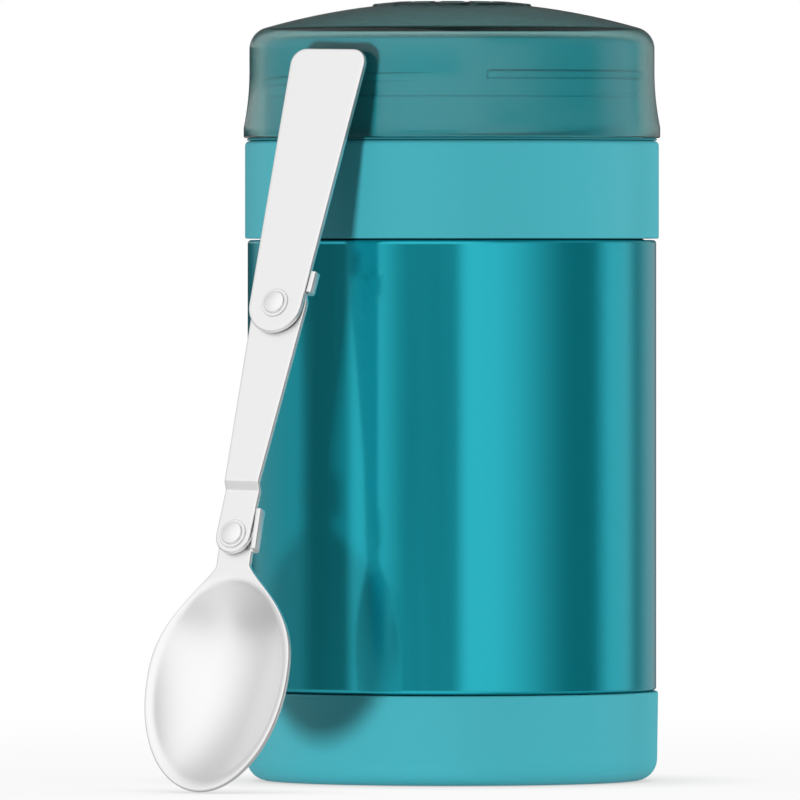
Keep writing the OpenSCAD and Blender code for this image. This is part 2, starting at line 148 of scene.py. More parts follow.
def add_grain(tree, shader, scale, height, stretch=1.0, rough=None):
    """Links the grain to a shader's normal, and to its roughness between two values."""
    grain = tree.nodes.new("ShaderNodeGroup")
    grain.node_tree = GRAIN
    grain.inputs["Scale"].default_value = scale
    grain.inputs["Height"].default_value = height
    grain.inputs["Stretch"].default_value = stretch
    tree.links.new(grain.outputs["Normal"], shader.inputs["Normal"])
    if rough:
        spread = tree.nodes.new("ShaderNodeMapRange")
        spread.inputs["To Min"].default_value, spread.inputs["To Max"].default_value = rough
        tree.links.new(grain.outputs["Mask"], spread.inputs["Value"])
        tree.links.new(spread.outputs["Result"], shader.inputs["Roughness"])


teal_plastic, tree, shader = new_material(
    "teal_plastic", Base_Color=(0.056, 0.4, 0.465, 1), Roughness=0.5, IOR=1.49,
    Specular_IOR_Level=0.4)
add_grain(tree, shader, scale=1400, height=0.12, rough=(0.42, 0.58))

lacquer, tree, shader = new_material(
    "lacquered_steel", Base_Color=(0.009, 0.42, 0.51, 1), Metallic=0.74, Roughness=0.13,
    Specular_IOR_Level=0.3, Coat_Weight=0.26, Coat_Roughness=0.1)
add_grain(tree, shader, scale=900, height=0.005, stretch=0.02, rough=(0.11, 0.15))
print("outside of the jar:", teal_plastic.name, lacquer.name)

# %% Bare steel
plain_steel, tree, shader = new_material(
    "plain_steel", Base_Color=(0.8, 0.8, 0.8, 1), Metallic=1.0, Roughness=0.36)
add_grain(tree, shader, scale=500, height=0.03, stretch=14, rough=(0.3, 0.42))

spoon_steel, tree, shader = new_material(
    "spoon_steel", Base_Color=(0.92, 0.92, 0.92, 1), Metallic=1.0, Roughness=0.33)
add_grain(tree, shader, scale=1500, height=0.02, rough=(0.3, 0.36))
print("steel:", plain_steel.name, spoon_steel.name)

# %% [markdown]
# The cover's plastic is tinted all through, so a thick place is darker than a thin
# one. A coloured glass surface would tint every place alike. Here the surface is
# clear and the colour is in the volume, which takes away light along its way. Lamps
# reach what is under the cover past the surface, by a mix on Light Path's shadow ray.

# %% Smoke plastic
smoke_plastic, tree, shader = new_material(
    "smoke_plastic", Base_Color=(0.97, 0.98, 0.98, 1), Roughness=0.12, IOR=1.46,
    Transmission_Weight=1.0)
add_grain(tree, shader, scale=300, height=0.004)
smoke = tree.nodes.new("ShaderNodeVolumeAbsorption")
smoke.inputs["Color"].default_value = (0.055, 0.56, 0.55, 1)
smoke.inputs["Density"].default_value = 290
clear = tree.nodes.new("ShaderNodeBsdfTransparent")
clear.inputs["Color"].default_value = (1, 1, 1, 1)
path = tree.nodes.new("ShaderNodeLightPath")
choose = tree.nodes.new("ShaderNodeMixShader")
material_output = tree.nodes["Material Output"]
tree.links.new(path.outputs["Is Shadow Ray"], choose.inputs["Fac"])
tree.links.new(shader.outputs[0], choose.inputs[1])
tree.links.new(clear.outputs[0], choose.inputs[2])
tree.links.new(choose.outputs[0], material_output.inputs["Surface"])
tree.links.new(smoke.outputs[0], material_output.inputs["Volume"])
print("cover:", smoke_plastic.name)

# %% Finishes inside the jar
# The silicone's dark teal is painted shade where it shows: the ring under the cover darkens the seam between the
# band and the cover as a shadow gap would. The gasket inside takes the same colour.
silicone, tree, shader = new_material(
    "silicone", Base_Color=(0.02, 0.19, 0.225, 1), Roughness=0.6)
add_grain(tree, shader, scale=900, height=0.08)

foam, tree, shader = new_material(
    "foam", Base_Color=(0.84, 0.82, 0.75, 1), Roughness=0.9)
add_grain(tree, shader, scale=500, height=0.4)

foil, tree, shader = new_material(
    "foil", Base_Color=(0.8, 0.8, 0.82, 1), Metallic=1.0, Roughness=0.25)
add_grain(tree, shader, scale=200, height=0.3)

solder_glass, tree, shader = new_material(
    "solder_glass", Base_Color=(0.07, 0.08, 0.09, 1), Roughness=0.1)
add_grain(tree, shader, scale=400, height=0.05)
print("inside:", silicone.name, foam.name, foil.name, solder_glass.name)

# %% Finish of each solid
FINISH = {
    "teal_plastic": teal_plastic, "lacquered_steel": lacquer, "plain_steel": plain_steel,
    "spoon_steel": spoon_steel, "smoke_plastic": smoke_plastic, "silicone": silicone,
    "foam": foam, "foil": foil, "solder_glass": solder_glass,
}
SLOT_OF = {part["node"]: part["material_slot"] for part in frame["record"]["subparts"]}
for name, node in frame["nodes"].items():
    node.data.materials.clear()
    node.data.materials.append(FINISH[SLOT_OF[name]])
print("finishes:", ", ".join(FINISH))

# %% [markdown]
# ## Drawing tools
# Everything on this jar is either turned about an axis or pressed from flat sheet.
# So two kinds of surface are enough: a profile carried round an axis, and a sheet
# whose outline is rolled over at its edge. Modifiers such as Screw, Solidify and
# Bevel could make both. Here they are grids of points worked out as whole arrays,
# because then every seam and pole is closed and no bevel fails in a tight corner.

# %% Lines with round corners
def arc(centre, radius, start, end, steps=12):
    """Points at a fixed distance from the centre, from one angle to the other in degrees."""
    angle = np.radians(np.linspace(start, end, steps + 1))
    return np.stack([centre[0] + radius * np.cos(angle),
                     centre[1] + radius * np.sin(angle)], axis=1)


def rounded(corners, steps=8):
    """A line through corners (x, y, radius), in order. Each corner with a radius is
    replaced by the arc of that radius that touches both of its sides: its centre lies
    on the line that halves the corner, at the radius over the sine of half the angle."""
    out = []
    count = len(corners)
    for k, (x, y, radius) in enumerate(corners):
        here = np.array([x, y], float)
        if radius <= 0:
            out.append(here[None])
            continue
        before = np.array(corners[k - 1][:2], float) - here
        after = np.array(corners[(k + 1) % count][:2], float) - here
        before /= np.linalg.norm(before)
        after /= np.linalg.norm(after)
        half = 0.5 * math.acos(float(np.clip(before @ after, -1, 1)))
        middle = before + after
        middle /= np.linalg.norm(middle)
        centre = here + middle * radius / math.sin(half)
        first = here + before * radius / math.tan(half) - centre
        last = here + after * radius / math.tan(half) - centre
        turn = math.atan2(first[0] * last[1] - first[1] * last[0], first @ last)
        angle = math.atan2(first[1], first[0]) + np.linspace(0, turn, steps + 1)
        out.append(centre + radius * np.stack([np.cos(angle), np.sin(angle)], axis=1))
    return np.concatenate(out)


tile = rounded([(0, 0, 2), (10, 0, 2), (10, 10, 2), (0, 10, 2)])
print("a square with four round corners has", len(tile), "points")


# %% Closed outlines
def evenly(outline, count):
    """The closed outline again, as count points at equal steps along its length. They
    start at its lowest point, so that a symmetric outline gets mirrored pairs."""
    lowest_first = np.roll(outline, -int(np.argmin(outline[:, 1])), axis=0)
    closed = np.concatenate([lowest_first, lowest_first[:1]])
    length = np.concatenate([[0], np.cumsum(np.linalg.norm(np.diff(closed, axis=0), axis=1))])
    at = np.linspace(0, length[-1], count, endpoint=False)
    return np.stack([np.interp(at, length, closed[:, k]) for k in (0, 1)], axis=1)


def held(outline, hold=0.3):
    """The closed outline with two more points on each straight stretch longer than six
    holds, one hold in from either end. Smooth shading then stays flat between them."""
    after = np.roll(outline, -1, axis=0)
    length = np.linalg.norm(after - outline, axis=1)
    along = (after - outline) * (hold / np.maximum(length, hold))[:, None]
    keep = np.stack([length >= 0, length > 6 * hold, length > 6 * hold], axis=1)
    return np.stack([outline, outline + along, after - along], axis=1)[keep]


def inset(outline, distance):
    """The closed, counter-clockwise outline moved inwards along its own normals."""
    along = np.roll(outline, -1, axis=0) - np.roll(outline, 1, axis=0)
    along /= np.linalg.norm(along, axis=1)[:, None]
    return outline + distance * np.stack([-along[:, 1], along[:, 0]], axis=1)


print("with its straight sides held, the square has", len(held(tile)), "points")

# %% Grids of points
TURNS = 256


def grid_faces(rows, columns, wrap_rows):
    """Four-sided faces between neighbouring rows and columns of a grid of points. The
    last column always meets the first, and the last row does where wrap_rows is true."""
    i = np.arange(rows if wrap_rows else rows - 1)[:, None]
    j = np.arange(columns)[None, :]
    i, j = np.broadcast_arrays(i, j)
    down, right = (i + 1) % rows, (j + 1) % columns
    corners = [i * columns + j, down * columns + j, down * columns + right, i * columns + right]
    return np.stack(corners, axis=-1).reshape(-1, 4)


def turned(profile, turns=TURNS):
    """A profile of (radius, height) carried once round the Z axis: x is the radius times
    the cosine of the angle, y the radius times its sine, and z the height."""
    angle = np.linspace(0, 2 * np.pi, turns, endpoint=False)
    radius, height = profile[:, :1], profile[:, 1:]
    return np.stack([radius * np.cos(angle), radius * np.sin(angle),
                     height + 0 * angle], axis=-1)


print("a turned square would have", len(grid_faces(len(tile), TURNS, True)), "faces")

# %% A finished piece
WELD = 1e-7
SLIVER = 1e-8


def add_piece(name, grid, body, slot, stands_for=(), caps=(), wrap_rows=False):
    """A mesh from a grid of points (rows, columns, 3) in mm that rides on a body. caps
    are rows closed by one flat face. Points that fall together are welded, and what is
    left on the axis without a face is deleted."""
    rows, columns = grid.shape[:2]
    faces = grid_faces(rows, columns, wrap_rows).tolist()
    faces += [(np.arange(columns) + (row % rows) * columns).tolist() for row in caps]
    mesh = bpy.data.meshes.new(name)
    mesh.from_pydata((grid.reshape(-1, 3) * MM).tolist(), [], faces)
    work = bmesh.new()
    work.from_mesh(mesh)
    bmesh.ops.remove_doubles(work, verts=work.verts, dist=WELD)
    bmesh.ops.dissolve_degenerate(work, edges=work.edges, dist=SLIVER)
    bare_edges = [edge for edge in work.edges if not edge.link_faces]
    bmesh.ops.delete(work, geom=bare_edges, context="EDGES")
    bare_points = [point for point in work.verts if not point.link_faces]
    bmesh.ops.delete(work, geom=bare_points, context="VERTS")
    bmesh.ops.recalc_face_normals(work, faces=work.faces)
    work.to_mesh(mesh)
    work.free()
    mesh.shade_smooth()
    mesh.materials.append(FINISH[slot])
    piece = bpy.data.objects.new(name, mesh)
    bpy.context.collection.objects.link(piece)
    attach(piece, body)
    if stands_for:
        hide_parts(*stands_for)
    print(f"{name}: {len(mesh.polygons)} faces")


# %% [markdown]
# ## Turned pieces
# The boot is moulded, the steel vessel is drawn and spun, and the stopper and its
# tray are moulded too. All of them are bodies of revolution. Each profile is a short
# list of corners with a radius, because that is how a drawing of such a piece gives
# it. The main heights and radii are read from the frame's own solids, so a skin lies
# where its solid is.

# %% Sizes from the frame
def reach(node):
    """Outer radius, lowest and highest height of a turned node, in mm."""
    low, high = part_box(node)
    return high[0] / MM, low[2] / MM, high[2] / MM


BOOT_R, _, BOOT_H = reach("base_boot")
BODY_R, FOOT_Z, LIP_Z = reach("outer_shell")
LINER_R, LINER_Z, _ = reach("inner_liner")
SKIRT_R, SKIRT_Z, COLLAR_Z = reach("stopper_shell")
TRAY_R, TRAY_Z, TRAY_TOP = reach("stopper_tray")
PLUG_R, PLUG_Z, PLUG_TOP = reach("stopper_plug")
COVER_R, COVER_Z, CROWN_Z = reach("cover_shell")
print("boot", BOOT_R, "body", BODY_R, "skirt", SKIRT_R, "cover", COVER_R, "top", CROWN_Z)


def add_turned(name, corners, node, body):
    """Turns a closed profile of (radius, height, corner radius) into a skin for a node."""
    add_piece(name, turned(held(rounded(corners))), body, SLOT_OF[node], stands_for=[node],
              wrap_rows=True)


# %% Boot
# A shallow ring is moulded into the underside, and a foam pad fills the recess inside.
FOOT_STEP = 1.8
BOND_GAP = 0.15
BOOT_DRAFT = 0.3
BOOT_FLOOR = 2.2
PAD_RECESS_R = 36.1
FOOT_SEAT_Z = 4.85
RING_IN = 33.0
RING_OUT = 35.0
RING_SLOPE = 0.4
RING_DEPTH = 0.5
FOOT_R = BODY_R - FOOT_STEP
boot_bore = FOOT_R + BOND_GAP
add_turned("boot_skin", [
    (0, 0, 0), (RING_IN, 0, 0.2), (RING_IN + RING_SLOPE, RING_DEPTH, 0.15),
    (RING_OUT - RING_SLOPE, RING_DEPTH, 0.15), (RING_OUT, 0, 0.2),
    (BOOT_R - BOOT_DRAFT, 0, 5), (BOOT_R, BOOT_H, 0.5), (boot_bore, BOOT_H, 0.2),
    (boot_bore, FOOT_SEAT_Z, 4.1), (PAD_RECESS_R, FOOT_SEAT_Z, 0.3),
    (PAD_RECESS_R, BOOT_FLOOR, 0.3), (0, BOOT_FLOOR, 0),
], "base_boot", "jar")

# %% Steel vessel
WALL = 0.5
FIT = 0.05
SHADOW_GAP = 0.3
NECK_STEP = 3.4
FOOT_HOLE_R = 37
STEP_ABOVE_BOOT = 0.2
SHOULDER_Z = SKIRT_Z - SHADOW_GAP
NECK_R = BODY_R - NECK_STEP
step_z = BOOT_H + STEP_ABOVE_BOOT
add_turned("steel_body_skin", [
    (FOOT_HOLE_R, FOOT_Z, 0.1), (FOOT_R, FOOT_Z, 4), (FOOT_R, step_z, 0.2),
    (BODY_R, step_z, 0.8), (BODY_R, SHOULDER_Z, 0.8), (NECK_R, SHOULDER_Z, 1),
    (NECK_R, LIP_Z, 1.6), (LINER_R + FIT, LIP_Z, 0.1),
    (LINER_R + FIT, LIP_Z - WALL, 0.1), (NECK_R - WALL, LIP_Z - WALL, 1.1),
    (NECK_R - WALL, SHOULDER_Z - WALL, 1.5), (BODY_R - WALL, SHOULDER_Z - WALL, 0.3),
    (BODY_R - WALL, step_z + WALL, 0.3), (FOOT_R - WALL, step_z + WALL, 0.2),
    (FOOT_R - WALL, FOOT_Z + WALL, 3.5), (FOOT_HOLE_R, FOOT_Z + WALL, 0.1),
], "outer_shell", "jar")

cavity_r = LINER_R - WALL
add_turned("liner_skin", [
    (0, LINER_Z, 0), (LINER_R, LINER_Z, 8.5), (LINER_R, LIP_Z, 0.15),
    (cavity_r, LIP_Z, 0.2), (cavity_r, LINER_Z + WALL, 8), (0, LINER_Z + WALL, 0),
], "inner_liner", "jar")

# %% Stopper
# A small groove runs round the collar, just below the cover's threads.
SKIRT_WALL = 2
DECK_WALL = 2.6
COLLAR_WALL = 1.6
GROOVE_Z = 155.4
GROOVE_HALF = 0.6
GROOVE_FLAT = 0.2
GROOVE_DEPTH = 0.3
DECK_Z = PLUG_TOP + FIT
deck_under = DECK_Z - DECK_WALL
collar_r = TRAY_R + COLLAR_WALL + 2 * FIT
skirt_in = SKIRT_R - SKIRT_WALL
add_turned("stopper_skin", [
    (skirt_in, SKIRT_Z, 0.3), (SKIRT_R, SKIRT_Z, 0.4), (SKIRT_R, DECK_Z, 1.1),
    (collar_r, DECK_Z, 0.6), (collar_r, GROOVE_Z - GROOVE_HALF, 0.1),
    (collar_r - GROOVE_DEPTH, GROOVE_Z - GROOVE_FLAT, 0.1),
    (collar_r - GROOVE_DEPTH, GROOVE_Z + GROOVE_FLAT, 0.1),
    (collar_r, GROOVE_Z + GROOVE_HALF, 0.1), (collar_r, COLLAR_Z, 0.8),
    (collar_r - COLLAR_WALL, COLLAR_Z, 0.3), (collar_r - COLLAR_WALL, DECK_Z, 0.1),
    (PLUG_R + FIT, DECK_Z, 0.1), (PLUG_R + FIT, deck_under, 0.1), (skirt_in, deck_under, 0.8),
], "stopper_shell", "stopper")

# %% Tray and plug
# The plug carries the gasket in a seat, and a flange at its top fills the deck's hole.
TRAY_WALL = 1.2
TRAY_FLOOR = 1.5
PLUG_WALL = 2
PLUG_FLANGE = 0.95
SEAT_LOW_Z = 136.3
SEAT_TOP_Z = 141.2
SEAT_DEPTH = 0.8
tray_in = TRAY_R - TRAY_WALL
tray_floor = TRAY_Z + TRAY_FLOOR
add_turned("tray_skin", [
    (0, TRAY_Z, 0), (TRAY_R, TRAY_Z, 1), (TRAY_R, TRAY_TOP, 0.4), (tray_in, TRAY_TOP, 0.4),
    (tray_in, tray_floor, 1.5), (0, tray_floor, 0),
], "stopper_tray", "stopper")

plug_r = PLUG_R - PLUG_FLANGE
plug_in = plug_r - PLUG_WALL
seat_r = plug_r - SEAT_DEPTH
flange_z = deck_under + FIT
add_turned("plug_skin", [
    (0, PLUG_Z, 0), (plug_r, PLUG_Z, 3), (plug_r, SEAT_LOW_Z, 0.2), (seat_r, SEAT_LOW_Z, 0.2),
    (seat_r, SEAT_TOP_Z, 0.2), (plug_r, SEAT_TOP_Z, 0.2), (plug_r, flange_z, 0.1),
    (PLUG_R, flange_z, 0.2), (PLUG_R, PLUG_TOP, 0.1), (plug_in, PLUG_TOP, 0.1),
    (plug_in, PLUG_Z + PLUG_WALL, 1), (0, PLUG_Z + PLUG_WALL, 0),
], "stopper_plug", "stopper")

# %% [markdown]
# ## Cover
# The cover narrows from its lower edge to a waist, then rounds over into a large
# spherical crown. Twelve low bars stand round the middle of the crown as a grip.
# They could be twelve small blocks, but they are part of the same moulding, and a
# block's hidden faces would show inside the translucent plastic. So they are a
# height added to the turned surface: a smooth step along the radius times a smooth
# step round the circle.

# %% Shape of the cover
CROWN_BALL = 153.0
EDGE_R = 5.0
WAIST_IN = 1.3
COVER_WALL = 2.0
FLARE_UP = 2.4
WAIST_UP = 15
LIP_IN_R = 0.3
LIP_OUT_R = 0.4
WAIST_R = COVER_R - WAIST_IN
ball_z = CROWN_Z - CROWN_BALL
corner_r = WAIST_R - EDGE_R
corner_z = ball_z + math.sqrt((CROWN_BALL - EDGE_R) ** 2 - corner_r ** 2)
corner_turn = math.degrees(math.atan2(corner_z - ball_z, corner_r))


def crown(radius, start, end, steps):
    """The crown's spherical stretch between two distances from the axis: the height is
    the ball's centre plus the root of its radius squared less the distance squared."""
    along = np.linspace(start, end, steps)
    return np.stack([along, ball_z + np.sqrt(radius ** 2 - along ** 2)], axis=1)


def smooth_step(low, high, value):
    """0 below low, 1 above high, and an S-shaped rise between them: three times the
    squared share less twice its cube."""
    share = np.clip((value - low) / (high - low), 0, 1)
    return share * share * (3 - 2 * share)


flare_z = COVER_Z + FLARE_UP
waist_z = COVER_Z + WAIST_UP
side = np.linspace(flare_z, waist_z, 16)
flare = WAIST_R + (COVER_R - WAIST_R) * ((waist_z - side) / (waist_z - flare_z)) ** 2
edge_end = corner_r + EDGE_R * math.cos(math.radians(corner_turn))
edge_in = corner_r + (EDGE_R - COVER_WALL) * math.cos(math.radians(corner_turn))
print("crown starts", round(edge_end, 2), "mm from the axis")

# %% Cover
# The rows lie close together under the grip bars, and wider apart elsewhere.
GRIP_IN = 12.0
GRIP_OUT = 18.0
GRIP_COUNT = 12
GRIP_HEIGHT = 0.45
GRIP_SHARE = 0.42
SLOPE_OUTSIDE = 0.15
SLOPE_INSIDE = 0.25
SLOPE_SIDE = (-0.3, 0.15)
ROW_STEP = 0.1
COVER_TURNS = 480
fine_out = GRIP_OUT + 0.4
fine_in = GRIP_IN - 0.5
cover_profile = np.concatenate([
    arc((COVER_R - COVER_WALL + LIP_IN_R, COVER_Z + LIP_IN_R), LIP_IN_R, 180, 270, 4),
    arc((COVER_R - LIP_OUT_R, COVER_Z + LIP_OUT_R), LIP_OUT_R, -90, 0, 6),
    np.stack([flare, side], axis=1),
    arc((corner_r, corner_z), EDGE_R, 0, corner_turn, 16),
    crown(CROWN_BALL, edge_end, fine_out + ROW_STEP, 24)[1:],
    crown(CROWN_BALL, fine_out, fine_in, 56),
    crown(CROWN_BALL, fine_in - ROW_STEP, 0, 10),
])
inner_profile = np.concatenate([
    crown(CROWN_BALL - COVER_WALL, 0, edge_in, 24),
    arc((corner_r, corner_z), EDGE_R - COVER_WALL, corner_turn, 0, 10),
    np.stack([flare - COVER_WALL, side], axis=1)[::-1],
])
cover_grid = turned(np.concatenate([cover_profile, inner_profile]), COVER_TURNS)
outside = cover_grid[:len(cover_profile)]
from_axis = np.hypot(outside[..., 0], outside[..., 1])
bearing = np.degrees(np.arctan2(outside[..., 1], outside[..., 0]))
step = 360 / GRIP_COUNT
off_bar = np.abs((bearing + step / 2) % step - step / 2) * np.radians(1) * from_axis
half_bar = GRIP_SHARE * step * np.radians(1) * from_axis
along_bar = (smooth_step(GRIP_IN - SLOPE_OUTSIDE, GRIP_IN + SLOPE_INSIDE, from_axis)
             * (1 - smooth_step(GRIP_OUT - SLOPE_INSIDE, GRIP_OUT + SLOPE_OUTSIDE, from_axis)))
on_crown = outside[..., 2] > corner_z
outside[..., 2] += (GRIP_HEIGHT * along_bar * on_crown
                    * (1 - smooth_step(*SLOPE_SIDE, off_bar - half_bar)))
add_piece("cover_skin", cover_grid, "cover", "smoke_plastic", stands_for=["cover_shell"],
          wrap_rows=True)

# %% [markdown]
# ## Screw threads
# A thread is a low ridge carried along a helix. The Screw modifier could sweep it,
# but a moulded thread doesn't stop square: its height fades to nothing over a few
# degrees, where the mould lets it run out. So the ridge is a grid whose height is
# multiplied by a smooth step at each end. The stopper's collar carries two ridges
# for the cover: a lead that climbs, and a level lock with a blunt end.

# %% Threads
THREAD_SECTION = rounded(
    [(-0.55, -0.2, 0), (-0.25, 1, 0.18), (0.25, 1, 0.18), (0.55, -0.2, 0)], 5)
POINTS_A_TURN = 240
SUNK = 0.1


def add_thread(name, radius, start, turns, lead, height, width, body, slot, ends=(14, 14)):
    """A ridge on a cylinder: a point goes round by its angle, up by the lead for each
    turn, and out by the section's height. start is (height, bearing), and ends are the
    degrees over which the ridge rises and runs out. A negative height makes an inner
    thread."""
    start_z, start_deg = start
    around = np.linspace(0, turns * 360, int(turns * POINTS_A_TURN))[:, None]
    run_out = (smooth_step(0, ends[0], around)
               * (1 - smooth_step(turns * 360 - ends[1], turns * 360, around)))
    out = radius + height * (THREAD_SECTION[None, :, 1] * run_out - SUNK)
    up = start_z + lead * around / 360 + width * THREAD_SECTION[None, :, 0]
    angle = np.radians(start_deg + around)
    grid = np.stack([out * np.cos(angle), out * np.sin(angle), up], axis=-1)
    add_piece(name, grid, body, slot, caps=(0, -1))


add_thread("collar_thread_lead", radius=collar_r, start=(156.9, 100), turns=0.49, lead=5.8,
           height=0.55, width=2.2, body="stopper", slot="teal_plastic", ends=(14, 50))
add_thread("collar_thread_lock", radius=collar_r, start=(160.0, -80), turns=0.49, lead=0.2,
           height=0.75, width=2.2, body="stopper", slot="teal_plastic", ends=(1.5, 14))
add_thread("neck_thread", radius=NECK_R, start=(127.4, -60), turns=1.7, lead=4.0,
           height=1.1, width=2.4, body="jar", slot="lacquered_steel")
add_thread("skirt_thread", radius=skirt_in, start=(125.4, 60), turns=1.3, lead=4.0,
           height=-1.0, width=2.2, body="stopper", slot="teal_plastic")

# %% [markdown]
# ## Folding spoon
# Three leaves are stamped from sheet steel and tumbled until their edges are round.
# Solidify and Bevel on a flat face could do this, but the face would need a fine
# grid anyway to be bent. So a leaf is its outline shrunk in rings towards a spine,
# rolled over at the edge and repeated on the back. A height for each point bends
# it: a small step in the link, and the dish of the bowl.

# %% The spoon's own axes
# A leaf is drawn flat, in mm to the right, up and to the front of a pivot.
JOINT = {joint["name"]: joint for joint in frame["joints"]}
upper_pivot = np.array(JOINT["handle_fold"]["pos_m"]) / MM
lower_pivot = np.array(JOINT["bowl_fold"]["pos_m"]) / MM
to_front = np.array(JOINT["handle_fold"]["axis"])
to_front = to_front / np.linalg.norm(to_front)
pivot_span = float(np.linalg.norm(upper_pivot - lower_pivot))
to_top = (upper_pivot - lower_pivot) / pivot_span
to_right = np.cross(to_top, to_front)
print("pivots in mm:", upper_pivot.round(2), lower_pivot.round(2), "apart", round(pivot_span, 2))


def in_spoon(points, cant=0.0, origin=upper_pivot):
    """Points from a leaf's flat drawing (right, up, front) to their place in space: the
    pivot plus each measure along its own axis, the first two turned by the cant."""
    right = to_right * math.cos(cant) + to_top * math.sin(cant)
    up = -to_right * math.sin(cant) + to_top * math.cos(cant)
    return (origin + points[..., :1] * right + points[..., 1:2] * up
            + points[..., 2:] * to_front)


# %% Leaves
LEAF = 1.4
LEAF_GAP = 0.35
EDGE = 0.42
ROLL_STEPS = 6


def leaf_grid(outline, spine, height, rings=14):
    """Rings of a leaf from the front's spine, over the rolled edge, to the back's spine.
    The edge is a quarter circle on each side: for an angle a it moves inwards by the
    edge times one minus its sine, and back by the edge times one minus its cosine.
    height gives how far a point is moved to the front."""
    roll = np.linspace(0, np.pi / 2, ROLL_STEPS + 1)[1:]
    flat = inset(outline, EDGE)
    share = np.linspace(0, 1, rings)[:, None, None]
    face = spine + share * (flat - spine)
    rolled = np.stack([inset(outline, EDGE * (1 - math.sin(a))) for a in roll])
    drop = EDGE * (1 - np.cos(roll))
    plan = np.concatenate([face, rolled, rolled[::-1], face[::-1]])
    low = np.concatenate([np.zeros(rings), drop, LEAF - drop[::-1], np.full(rings, LEAF)])
    lift = height(plan[..., 0], plan[..., 1]) - low[:, None]
    return np.concatenate([plan, lift[..., None]], axis=-1)


def spine_of(outline, low, high):
    """The nearest point of a straight spine on the leaf's middle line."""
    return np.stack([0 * outline[:, 0], np.clip(outline[:, 1], low, high)], axis=1)


def taper(radius, half, length):
    """Angle of an edge that leaves a circle at a tangent and is half wide at length."""
    return math.degrees(math.acos(radius / math.hypot(half, length))
                        - math.atan2(length, half))


print("leaves are", LEAF, "mm thick and lie", LEAF_GAP, "mm apart")

# %% Handle
HANDLE_END_R = 6.85
HANDLE_LEN = 61.3
HANDLE_HALF = 9.95
HANDLE_CORNER = 3.6
HANDLE_SPINE = 55.3
OUTLINE_POINTS = 300
tilt = taper(HANDLE_END_R, HANDLE_HALF, HANDLE_LEN)
handle_outline = evenly(np.concatenate([
    arc((0, 0), HANDLE_END_R, 180 + tilt, 360 - tilt, 40),
    rounded([(HANDLE_HALF, HANDLE_LEN, HANDLE_CORNER), (-HANDLE_HALF, HANDLE_LEN, HANDLE_CORNER),
             (-HANDLE_END_R, 0, 0), (HANDLE_END_R, 0, 0)], 12)[:-2],
]), OUTLINE_POINTS)


def handle_height(x, y):
    """Level, one gap and one thickness in front of the link's own front."""
    return 0 * x + LEAF_GAP + LEAF


handle_grid = leaf_grid(handle_outline, spine_of(handle_outline, 0, HANDLE_SPINE), handle_height)
add_piece("spoon_handle_leaf", in_spoon(handle_grid), "handle", "spoon_steel",
          stands_for=["spoon_handle"])

# %% Link
STEP = 1.3
STEP_UP = 12
STEP_LOW = -1.7
STEP_HIGH = 0.2
LINK_END_R = 6.95
LINK_LOW_HALF = 4.45
STEP_Y = -pivot_span + STEP_UP
link_tilt = taper(LINK_END_R, LINK_LOW_HALF, -STEP_Y)
link_outline = evenly(np.concatenate([
    arc((0, -pivot_span), LINK_LOW_HALF, 180, 360, 30),
    [[LINK_LOW_HALF, STEP_Y]],
    arc((0, 0), LINK_END_R, link_tilt, 180 - link_tilt, 40),
    [[-LINK_LOW_HALF, STEP_Y]],
]), OUTLINE_POINTS)


def link_height(x, y):
    """Level above, and one step back below, with a smooth step between them."""
    return -STEP * (1 - smooth_step(STEP_Y + STEP_LOW, STEP_Y + STEP_HIGH, y)) + 0 * x


link_grid = leaf_grid(link_outline, spine_of(link_outline, -pivot_span, 0), link_height)
add_piece("spoon_link_leaf", in_spoon(link_grid), "link", "spoon_steel",
          stands_for=["spoon_link"])

# %% [markdown]
# ## Bowl
# The bowl's outline is an ellipse towards the tip and a softer curve that runs out
# into the neck. The press leaves a narrow flat rim and a dish inside it. Sculpting
# could give such a dish, but a formula keeps it even, so that its reflection has no
# dents. The dish follows an elliptical distance from the deepest point, one minus
# its square, and a short parabola blends it into the rim, as the edge of the punch
# does.

# %% Shape of the bowl
BOWL_HALF = 18.2
BOWL_DEPTH = 7.0
BOWL_WIDE = -33.6
BOWL_TIP = -60.2
RIM_W = 1.3
DISH_TOP = -10.1
DISH_BLEND = 0.12
NECK_HALF = 4.35
NECK_Y = -6.8
SHOULDER_POWERS = (2.5, 1.35)


def bowl_half(y):
    """Half width of the bowl: the ellipse below the widest place, and above it one minus
    a power of the height, to a power, between the neck's half width and the bowl's."""
    low = BOWL_HALF * np.sqrt(np.clip(1 - ((BOWL_WIDE - y) / (BOWL_WIDE - BOWL_TIP)) ** 2, 0, 1))
    up = np.clip((y - BOWL_WIDE) / (NECK_Y - BOWL_WIDE), 0, 1)
    inner, outer = SHOULDER_POWERS
    soft = NECK_HALF + (BOWL_HALF - NECK_HALF) * (1 - up ** inner) ** outer
    return np.where(y < BOWL_WIDE, low, soft)


def bowl_height(x, y):
    """Zero on the neck and the rim, minus the depth at the deepest point, and between
    them the depth times one minus the squared elliptical distance. Where that comes
    within the blend of zero, a parabola that is tangent to both takes over."""
    length = np.where(y < BOWL_WIDE, BOWL_WIDE - BOWL_TIP - RIM_W, DISH_TOP - BOWL_WIDE)
    fill = 1 - (x / (BOWL_HALF - RIM_W)) ** 2 - ((y - BOWL_WIDE) / length) ** 2
    blended = (np.clip(fill + DISH_BLEND, 0, None)) ** 2 / (4 * DISH_BLEND)
    return -BOWL_DEPTH * np.where(fill > DISH_BLEND, fill, blended)


print("bowl is", 2 * BOWL_HALF, "mm wide and", BOWL_DEPTH, "mm deep")

